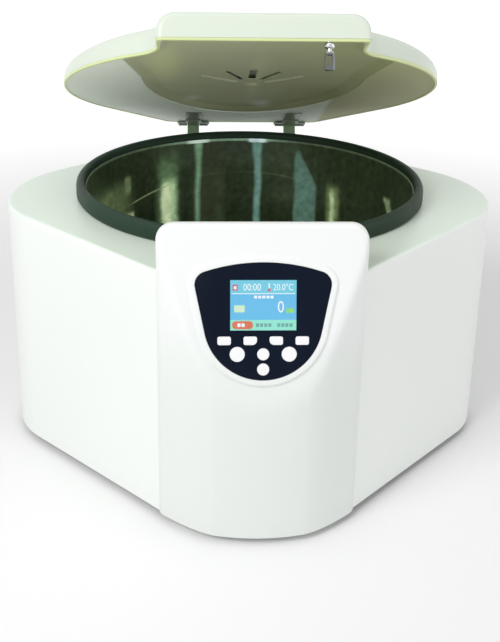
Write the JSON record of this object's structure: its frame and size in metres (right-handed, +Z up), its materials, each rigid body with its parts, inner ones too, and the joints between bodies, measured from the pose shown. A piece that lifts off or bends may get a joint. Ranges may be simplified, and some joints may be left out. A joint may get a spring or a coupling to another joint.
{
  "type": "laboratory centrifuge",
  "caption": "Benchtop low-speed centrifuge: rounded casing with a hinged lid, a steel bowl with a swing-out bucket rotor, and a sloping front console with a screen and keys.",
  "frame": {"origin": "on the floor, under the middle of the whole machine", "axes": "+X to the right seen from the front, +Y from the console to the back, +Z up"},
  "size_m": [0.541, 0.539, 0.5097],
  "materials": {
    "casing_paint": "satin pale green-white enamel",
    "console_paint": "satin pale green-grey enamel",
    "zinc_steel": "dull zinc plate",
    "foot_rubber": "moulded, matt",
    "bowl_steel": "turned and polished",
    "seal_rubber": "smooth, slightly shiny",
    "guard_steel": "grey primer",
    "damper_rubber": "moulded, matt",
    "motor_casting": "as cast",
    "stator_steel": "laminated",
    "bearing_steel": "ground",
    "heatsink": "anodised",
    "panel_film": "navy overlay, satin",
    "screen_glass": "clear, flat",
    "display_plastic": "lit colour display",
    "board_laminate": "solder mask",
    "black_plastic": "moulded",
    "hinge_steel": "painted with the casing",
    "rear_metal": "satin",
    "rocker_plastic": "moulded, glossy",
    "rotor_alloy": "turned and anodised",
    "bucket_alloy": "anodised",
    "liner_paint": "satin grey-green enamel",
    "bright_chrome": "polished",
    "key_plastic": "satin white"
  },
  "bodies": {
    "housing": {"casing": "casing_paint", "base_plate": "zinc_steel", "feet": "foot_rubber", "bowl": "bowl_steel", "bowl_seal": "seal_rubber", "guard_barrel": "guard_steel", "motor_dampers": "damper_rubber", "motor_plate": "zinc_steel", "motor_housing": "motor_casting", "motor_stator": "stator_steel", "motor_bearings": "bearing_steel", "spindle_boot": "damper_rubber", "drive_unit": "heatsink", "power_unit": "zinc_steel", "console_cover": "console_paint", "control_panel": "panel_film", "screen_window": "screen_glass", "display_module": "display_plastic", "control_board": "board_laminate", "key_switches": "black_plastic", "hinge_brackets": "hinge_steel", "hinge_pins": "bearing_steel", "lock_housing": "black_plastic", "lock_solenoid": "zinc_steel", "rear_plate": "rear_metal", "power_inlet": "black_plastic", "fuse_holder": "black_plastic", "switch_frame": "black_plastic", "rear_screws": "bearing_steel"},
    "rotor": {"motor_core": "stator_steel", "motor_shaft": "bearing_steel", "rotor_head": "rotor_alloy", "head_pins": "bearing_steel", "rotor_nut": "rotor_alloy"},
    "lid": {"lid_shell": "casing_paint", "lid_liner": "liner_paint", "hinge_leaves": "hinge_steel", "lid_striker": "bright_chrome"},
    "bucket_1": {"bucket_1": "bucket_alloy"},
    "bucket_2": {"bucket_2": "bucket_alloy"},
    "bucket_3": {"bucket_3": "bucket_alloy"},
    "bucket_4": {"bucket_4": "bucket_alloy"},
    "menu_key_1": {"menu_key_1": "key_plastic"},
    "menu_key_2": {"menu_key_2": "key_plastic"},
    "menu_key_3": {"menu_key_3": "key_plastic"},
    "menu_key_4": {"menu_key_4": "key_plastic"},
    "round_key_left": {"round_key_left": "key_plastic"},
    "round_key_right": {"round_key_right": "key_plastic"},
    "round_key_upper": {"round_key_upper": "key_plastic"},
    "round_key_lower": {"round_key_lower": "key_plastic"},
    "power_rocker": {"power_rocker": "rocker_plastic"},
    "lock_bolt": {"lock_bolt": "bearing_steel"}
  },
  "joints": [
    {"name": "lid_hinge", "type": "hinge", "parent": "housing", "child": "lid", "pos_m": [0, 0.2575, 0.2995], "axis": [-1, 0, 0], "range_deg": [-24, 56]},
    {"name": "rotor_spin", "type": "hinge", "parent": "housing", "child": "rotor", "pos_m": [0, 0.0295, 0.1705], "axis": [0, 0, 1], "continuous": true},
    {"name": "bucket_swing_1", "type": "hinge", "parent": "rotor", "child": "bucket_1", "pos_m": [0.095, 0.0295, 0.1705], "axis": [0, -1, 0], "range_deg": [0, 90]},
    {"name": "bucket_swing_2", "type": "hinge", "parent": "rotor", "child": "bucket_2", "pos_m": [0, 0.1245, 0.1705], "axis": [1, 0, 0], "range_deg": [0, 90]},
    {"name": "bucket_swing_3", "type": "hinge", "parent": "rotor", "child": "bucket_3", "pos_m": [-0.095, 0.0295, 0.1705], "axis": [0, 1, 0], "range_deg": [0, 90]},
    {"name": "bucket_swing_4", "type": "hinge", "parent": "rotor", "child": "bucket_4", "pos_m": [0, -0.0655, 0.1705], "axis": [-1, 0, 0], "range_deg": [0, 90]},
    {"name": "menu_key_1_press", "type": "slide", "parent": "housing", "child": "menu_key_1", "axis": [0, 0.9511, -0.309], "range_m": [0, 0.0009], "stiffness_N_per_m": 600, "springref_m": -0.0005},
    {"name": "menu_key_2_press", "type": "slide", "parent": "housing", "child": "menu_key_2", "axis": [0, 0.9511, -0.309], "range_m": [0, 0.0009], "stiffness_N_per_m": 600, "springref_m": -0.0005},
    {"name": "menu_key_3_press", "type": "slide", "parent": "housing", "child": "menu_key_3", "axis": [0, 0.9511, -0.309], "range_m": [0, 0.0009], "stiffness_N_per_m": 600, "springref_m": -0.0005},
    {"name": "menu_key_4_press", "type": "slide", "parent": "housing", "child": "menu_key_4", "axis": [0, 0.9511, -0.309], "range_m": [0, 0.0009], "stiffness_N_per_m": 600, "springref_m": -0.0005},
    {"name": "round_key_left_press", "type": "slide", "parent": "housing", "child": "round_key_left", "axis": [0, 0.9511, -0.309], "range_m": [0, 0.0009], "stiffness_N_per_m": 600, "springref_m": -0.0005},
    {"name": "round_key_right_press", "type": "slide", "parent": "housing", "child": "round_key_right", "axis": [0, 0.9511, -0.309], "range_m": [0, 0.0009], "stiffness_N_per_m": 600, "springref_m": -0.0005},
    {"name": "round_key_upper_press", "type": "slide", "parent": "housing", "child": "round_key_upper", "axis": [0, 0.9511, -0.309], "range_m": [0, 0.0009], "stiffness_N_per_m": 600, "springref_m": -0.0005},
    {"name": "round_key_lower_press", "type": "slide", "parent": "housing", "child": "round_key_lower", "axis": [0, 0.9511, -0.309], "range_m": [0, 0.0009], "stiffness_N_per_m": 600, "springref_m": -0.0005},
    {"name": "power_rocker_tilt", "type": "hinge", "parent": "housing", "child": "power_rocker", "pos_m": [0.032, 0.25525, 0.07], "axis": [1, 0, 0], "range_deg": [0, 16]},
    {"name": "lock_bolt_slide", "type": "slide", "parent": "housing", "child": "lock_bolt", "axis": [0, 1, 0], "range_m": [0, 0.0102], "stiffness_N_per_m": 150, "springref_m": -0.003}
  ]
}
